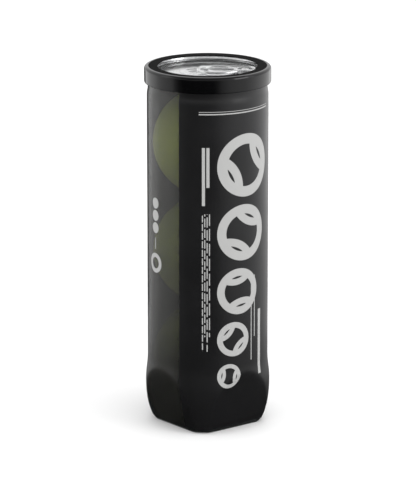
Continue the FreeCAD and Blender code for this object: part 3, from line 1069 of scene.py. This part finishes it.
def napTree():
    tree = bpy.data.node_groups.new("looseNap", "GeometryNodeTree")
    plan = (("Geometry", "NodeSocketGeometry"), ("Density", "NodeSocketFloat"), ("Length", "NodeSocketFloat"),
            ("Thickness", "NodeSocketFloat"), ("Seed", "NodeSocketInt"), ("Finish", "NodeSocketMaterial"))
    for label, kind in plan:
        tree.interface.new_socket(label, in_out="INPUT", socket_type=kind)
    tree.interface.new_socket("Geometry", in_out="OUTPUT", socket_type="NodeSocketGeometry")

    def add(kind, settings=None, sockets=None):
        made = tree.nodes.new(kind)
        for key, value in (settings or {}).items():
            setattr(made, key, value)
        for key, value in (sockets or {}).items():
            if isinstance(value, bpy.types.NodeSocket):
                tree.links.new(value, made.inputs[key])
            else:
                made.inputs[key].default_value = value
        return made

    given = add("NodeGroupInput").outputs
    scatter = add("GeometryNodeDistributePointsOnFaces", {"distribute_method": "RANDOM"},
                  {"Mesh": given["Geometry"], "Density": given["Density"], "Seed": given["Seed"]})
    hair = add("GeometryNodeCurveQuadraticBezier", None,
               {"Resolution": 4, "Start": (0, 0, -0.1), "Middle": (0.05, 0, 0.55), "End": (0.75, 0, 0.5)})
    ring = add("GeometryNodeCurvePrimitiveCircle", {"mode": "RADIUS"},
               {"Resolution": 3, "Radius": given["Thickness"]})
    strand = add("GeometryNodeCurveToMesh", None,
                 {"Curve": hair.outputs[0], "Profile Curve": ring.outputs[0], "Fill Caps": True})
    spin = add("FunctionNodeRandomValue", {"data_type": "FLOAT"}, {2: 0.0, 3: 6.283, "Seed": given["Seed"]})
    about = add("FunctionNodeAxisAngleToRotation", None, {"Axis": (0, 0, 1), "Angle": spin.outputs[1]})
    turnedBy = add("FunctionNodeRotateRotation", {"rotation_space": "LOCAL"},
                   {"Rotation": scatter.outputs["Rotation"], "Rotate By": about.outputs[0]})
    vary = add("FunctionNodeRandomValue", {"data_type": "FLOAT"}, {2: 0.55, 3: 1.0, "Seed": given["Seed"]})
    sized = add("ShaderNodeMath", {"operation": "MULTIPLY"}, {0: vary.outputs[1], 1: given["Length"]})
    placed = add("GeometryNodeInstanceOnPoints", None,
                 {"Points": scatter.outputs["Points"], "Instance": strand.outputs[0],
                  "Rotation": turnedBy.outputs[0], "Scale": sized.outputs[0]})
    real = add("GeometryNodeRealizeInstances", None, {"Geometry": placed.outputs[0]})
    coloured = add("GeometryNodeSetMaterial", None,
                   {"Geometry": real.outputs[0], "Material": given["Finish"]})
    out = tree.nodes.new("NodeGroupOutput")
    tree.links.new(coloured.outputs[0], out.inputs[0])
    return tree


def napOn(cloth, tree, seed):
    # loose fibres that stand off the cloth's face, as a plain mesh
    holder = bpy.data.objects.new("napHolder", cloth.data.copy())
    bpy.context.scene.collection.objects.link(holder)
    strip = bmesh.new()
    strip.from_mesh(holder.data)
    faceRadius = ballDims["radius"] - ballDims["napRoom"] - ballDims["edgeDrop"]
    inner = [face for face in strip.faces if face.calc_center_median().length < faceRadius]
    bmesh.ops.delete(strip, geom=inner, context="FACES")
    strip.to_mesh(holder.data)
    strip.free()
    modifier = holder.modifiers.new("nap", "NODES")
    modifier.node_group = tree
    keys = {item.name: item.identifier for item in tree.interface.items_tree if item.in_out == "INPUT"}
    modifier[keys["Density"]] = napDims["density"]
    modifier[keys["Length"]] = napDims["length"]
    modifier[keys["Thickness"]] = napDims["thickness"]
    modifier[keys["Seed"]] = seed
    modifier[keys["Finish"]] = finishes["felt"]
    graph = bpy.context.evaluated_depsgraph_get()
    mesh = bpy.data.meshes.new_from_object(holder.evaluated_get(graph))
    bpy.data.objects.remove(holder)
    nap = bpy.data.objects.new("nap", mesh)
    bpy.context.scene.collection.objects.link(nap)
    return nap


def makeBalls():
    d = ballDims
    points, faces, value, away, half = ballSurface()
    sides = np.where(away < half - 1e-5, 0, np.sign(value)).astype(int)
    inFace = sides[faces]
    middle = points[faces].mean(1)
    middleValue = seamField(middle / np.linalg.norm(middle, axis=1, keepdims=True))[0]
    seamFace = (away[faces].mean(1) < half) & (np.abs(inFace).sum(1) < 3) | (away[faces].max(1) < half + 1e-4)
    rough = lumps(points, 26) * d["lump"] + lumps(points, 70) * d["lump"] * 0.5
    clothRadius = d["radius"] - d["napRoom"] + rough
    clothRadius -= d["edgeDrop"] * np.exp(-((away - half) * d["radius"] / d["edgeWidth"]) ** 2)
    seamRadiusAt = np.full(len(points), d["radius"] - d["seamSink"]) + lumps(points, 40) * 0.05 * mm
    tree = napTree()
    made = {}
    for side, label in ((1, "felt_a"), (-1, "felt_b")):
        picked = faces[~seamFace & (np.sign(middleValue) == side)]
        cloth = clothPiece(label, points, picked, clothRadius, d["clothThickness"], finishes["felt"])
        made[label] = joined(label + "Cloth", [cloth, napOn(cloth, tree, napDims["seed"] + side)],
                             finishes["felt"], 70)
    made["seam"] = clothPiece("seam", points, faces[seamFace], seamRadiusAt, 0.8 * mm, finishes["seam"])
    return made


def finishNode(node, finish):
    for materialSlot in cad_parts[node].material_slots:
        materialSlot.material = finishes[finish]


ballShapes = makeBalls()
for number in (1, 2, 3):
    low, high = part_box(f"ball_{number}_felt_a")
    lowB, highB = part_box(f"ball_{number}_felt_b")
    centreHeight = (min(low.z, lowB.z) + max(high.z, highB.z)) / 2
    turn = ballDims["turnStep"] * number
    place = (Matrix.Translation((0, 0, centreHeight)) @ Matrix.Rotation(2 * turn, 4, "Z")
             @ Matrix.Rotation(turn, 4, "X"))
    for label, shape in ballShapes.items():
        mesh = shape.data.copy()
        mesh.transform(place)
        piece = bpy.data.objects.new(f"ball{number}_{label}", mesh)
        bpy.context.scene.collection.objects.link(piece)
        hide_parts(f"ball_{number}_{label}")
        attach(piece, f"ball_{number}")
    finishNode(f"ball_{number}_core_lower", "core")
    finishNode(f"ball_{number}_core_upper", "core")
for shape in ballShapes.values():
    bpy.data.objects.remove(shape)
print("balls made")
finishNode("seam_gasket", "gasket")
print("gasket finished")


# studio

studio = {
    "cameraAzimuth": math.radians(6.6),
    "cameraElevation": math.radians(14.5),
    "cameraDistance": 2.3,
    "lens": 284.6,
    "aimHeight": 0.1093,
    "aimAside": 0.0002,
    "worldTone": (1.3, 1.3, 1.3),
    "floorTone": (0.80, 0.80, 0.80),
    "floorReach": 6.0,
    "screenReach": 0.9,
    "screenFoot": -0.9,
    "screenTop": 0.217,
    "hoodFrom": -75.0,          # the dark strip in front goes on up
    "hoodTo": 50.0,
    "hoodTop": 1.35,
    "slotLow": 0.30,            # a pale slot in the hood, which the sunk end looks out at
    "slotHigh": 0.50,
    "backCard": (92.0, 268.0, 0.217, 1.34),
    "paleGlow": 0.88,
    "ceilingReach": 1.1,
    "ceilingHeight": 1.35,
    "screenGlow": 1.3,
    "footGlow": (0.42, 1.0),    # the screen dims below the floor's level
    "footFade": (-0.2, 0.0),
    "ceilingTone": 0.30,
    # brightness of the screen by degrees round from the camera's side
    "screenStops": [(-180, 0.02), (-155, 0.02), (-149, 0.95), (-136, 1.0), (-110, 1.0), (-98, 0.78),
                    (-85, 0.66), (-73, 0.58), (-66, 0.5), (-60, 0.22), (-52, 0.06), (-44, 0.012),
                    (12, 0.012), (18, 0.09), (26, 0.27), (41, 0.5), (55, 0.59), (70, 0.64), (86, 0.81),
                    (103, 0.96), (115, 1.0), (160, 1.0), (165, 0.02), (180, 0.02)],
    "tableReach": 0.27,
    "tableHeight": 0.0001,
    "tableGlow": (0.04, 0.66),  # at the near and far ends of the fade
    "tableFade": (0.06, 0.24),
}


def makeFloor():
    f = Finish("paleFloor")
    speck = f.cloud(6, 3)
    tones = [tuple(c * share for c in studio["floorTone"]) for share in (1, 0.985)]
    tone = f.blend(f.spread(speck, 0.0, 1.0), *tones)
    material = f.surface(Base_Color=tone, Roughness=f.spread(speck, 0.6, 0.7),
                         Normal=f.bump(f.cloud(300, 2), 0.02 * mm, 0.3))
    mesh = bpy.data.meshes.new("floor")
    reach = studio["floorReach"]
    mesh.from_pydata([(-reach, -reach, 0), (reach, -reach, 0), (reach, reach, 0), (-reach, reach, 0)], [],
                     [(0, 1, 2, 3)])
    floor = shown("floor", mesh, material)
    floor.visible_glossy = False
    floor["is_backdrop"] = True


def glossOnly(obj):
    for sight in ("visible_camera", "visible_diffuse", "visible_shadow", "visible_transmission"):
        setattr(obj, sight, False)
    obj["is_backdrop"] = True


def curvedSheet(name, fromDegrees, toDegrees, low, high, material, reach=None):
    # upright sheet bent round the can, by degrees from the camera's side
    steps = 96
    start = math.radians(fromDegrees) + studio["cameraAzimuth"]
    end = math.radians(toDegrees) + studio["cameraAzimuth"]
    radius = reach or studio["screenReach"]
    verts, faces = [], []
    for step in range(steps + 1):
        angle = start + (end - start) * step / steps
        for height in (low, high):
            verts.append((radius * math.sin(angle), -radius * math.cos(angle), height))
    for step in range(steps):
        faces.append((step * 2, step * 2 + 2, step * 2 + 3, step * 2 + 1))
    mesh = bpy.data.meshes.new(name)
    mesh.from_pydata(verts, [], faces)
    glossOnly(shown(name, mesh, material))


def roundCard(name, reach, height, material):
    steps = 96
    rim = [(reach * math.sin(2 * math.pi * n / steps), -reach * math.cos(2 * math.pi * n / steps), height)
           for n in range(steps)]
    mesh = bpy.data.meshes.new(name)
    mesh.from_pydata([(0, 0, height)] + rim, [], [(0, n + 1, (n + 1) % steps + 1) for n in range(steps)])
    glossOnly(shown(name, mesh, material))


def roundGlow(f):
    # brightness by direction round from the camera's side
    x, y = f.axes()[:2]
    a = studio["cameraAzimuth"]
    side = x * math.cos(a) + y * math.sin(a)
    front = x * math.sin(a) - y * math.cos(a)
    around = side.maths("ARCTAN2", front) / (2 * math.pi) + 0.5
    stops = [((at + 180) / 360, grey) for at, grey in studio["screenStops"]]
    return f.node("ShaderNodeValToRGB", {"stops": stops}, {"Fac": around})


def makeScreen():
    # round screen of light and dark strips, and a dark hood and ceiling, for the gloss alone
    s = studio
    f = Finish("screenLight")
    fall = f.spread(f.axes()[2], *s["footGlow"], *s["footFade"])
    strength = fall * s["screenGlow"]
    f.finishWith(f.node("ShaderNodeEmission", None, {"Color": roundGlow(f), "Strength": strength}))
    curvedSheet("screen", -180, 180, s["screenFoot"], s["screenTop"], f.material)
    curvedSheet("hoodLow", s["hoodFrom"], s["hoodTo"], s["screenTop"], s["slotLow"], f.material)
    curvedSheet("hoodHigh", s["hoodFrom"], s["hoodTo"], s["slotHigh"], s["hoodTop"], f.material)
    dark = Finish("darkCard")
    shade = (s["ceilingTone"],) * 3 + (1,)
    speck = dark.spread(dark.cloud(3, 2), 0.8, 1.2)
    dark.finishWith(dark.node("ShaderNodeEmission", None, {"Color": shade, "Strength": speck}))
    pale = Finish("paleCard")
    glow = pale.spread(pale.cloud(3, 2), 0.95, 1.05) * s["paleGlow"]
    pale.finishWith(pale.node("ShaderNodeEmission", None, {"Color": (1, 1, 1, 1), "Strength": glow}))
    fromDegrees, toDegrees, low, high = s["backCard"]
    curvedSheet("backCard", fromDegrees, toDegrees, low, high, pale.material, 0.88)
    curvedSheet("slotCard", s["hoodFrom"], s["hoodTo"], s["slotLow"], s["slotHigh"], pale.material, 0.92)
    roundCard("ceiling", s["ceilingReach"], s["ceilingHeight"], dark.material)


def makeTable():
    # painted shadow round the foot on a floor card, which only the gloss sees
    s = studio
    f = Finish("tableShade")
    x, y = f.axes()[:2]
    away = (x * x + y * y).maths("SQRT")
    glow = f.spread(away, *s["tableGlow"], *s["tableFade"])
    f.finishWith(f.node("ShaderNodeEmission", None, {"Color": roundGlow(f), "Strength": glow}))
    roundCard("table", s["tableReach"], s["tableHeight"], f.material)


def makeLights():
    world = bpy.data.worlds.new("studio")
    world.use_nodes = True
    back = world.node_tree.nodes["Background"]
    back.inputs["Color"].default_value = (*studio["worldTone"], 1)
    back.inputs["Strength"].default_value = 1.0
    bpy.context.scene.world = world
    for label, place, size, power in (("overhead", (0.25, -0.35, 1.5), 1.0, 9.0),
                                      ("sideFill", (1.3, -0.5, 0.7), 0.8, 4.0)):
        lamp = bpy.data.lights.new(label, "AREA")
        lamp.shape = "SQUARE"
        lamp.size = size
        lamp.energy = power
        holder = bpy.data.objects.new(label, lamp)
        holder.location = place
        holder.rotation_mode = "QUATERNION"
        holder.rotation_quaternion = (Vector((0, 0, 0.1)) - Vector(place)).to_track_quat("-Z", "Y")
        bpy.context.scene.collection.objects.link(holder)


def makeCamera():
    s = studio
    a, e = s["cameraAzimuth"], s["cameraElevation"]
    back = Vector((math.sin(a) * math.cos(e), -math.cos(a) * math.cos(e), math.sin(e)))
    right = Vector((math.cos(a), math.sin(a), 0))
    aim = Vector((0, 0, s["aimHeight"])) + right * s["aimAside"]
    lens = bpy.data.cameras.new("camera")
    lens.lens = s["lens"]
    lens.clip_start = 0.05
    lens.clip_end = 50
    camera = bpy.data.objects.new("camera", lens)
    camera.location = aim + back * s["cameraDistance"]
    camera.rotation_mode = "QUATERNION"
    camera.rotation_quaternion = (-back).to_track_quat("-Z", "Y")
    bpy.context.scene.collection.objects.link(camera)
    bpy.context.scene.camera = camera


makeFloor()
makeScreen()
makeTable()
makeLights()
makeCamera()
bpy.context.scene.view_settings.view_transform = "Standard"
print("studio made")

low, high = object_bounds()
